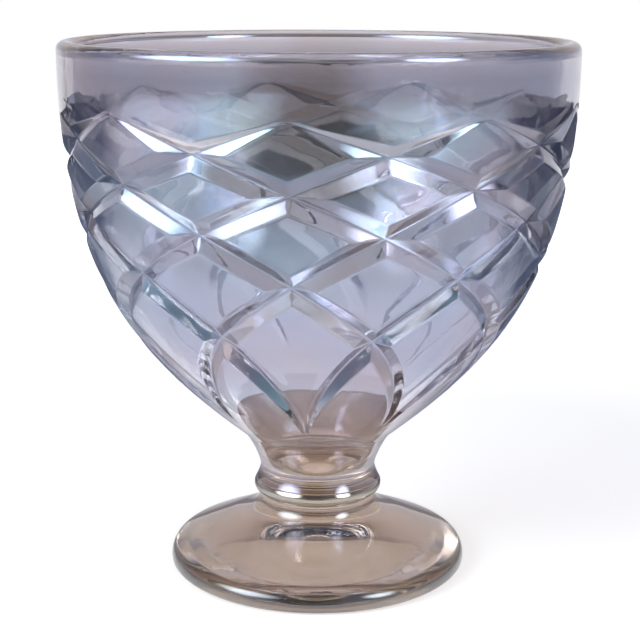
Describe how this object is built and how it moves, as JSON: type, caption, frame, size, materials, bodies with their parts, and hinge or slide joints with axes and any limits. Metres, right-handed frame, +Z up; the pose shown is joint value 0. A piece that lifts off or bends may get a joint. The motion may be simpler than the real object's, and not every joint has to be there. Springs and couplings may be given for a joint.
{
  "type": "footed mixing glass",
  "caption": "Footed pressed-glass mixing bowl with a crossing diamond lattice of V-cuts, a flattened collar and a round foot, for stirring and serving drinks.",
  "frame": {"origin": "centre of the ring that the foot stands on, on the table plane", "axes": "+Z up along the axis of the glass; -Y is the front, where a column of lattice crossings faces"},
  "size_m": [0.12, 0.12, 0.127],
  "materials": {
    "lustred_bowl_glass": "fire-polished pressed glass with a pale blue-violet lustre",
    "smoky_collar_glass": "fire-polished smoky glass",
    "smoky_foot_glass": "fire-polished smoky taupe glass"
  },
  "bodies": {
    "root": {"bowl": "lustred_bowl_glass", "collar": "smoky_collar_glass", "foot": "smoky_foot_glass"}
  },
  "joints": []
}
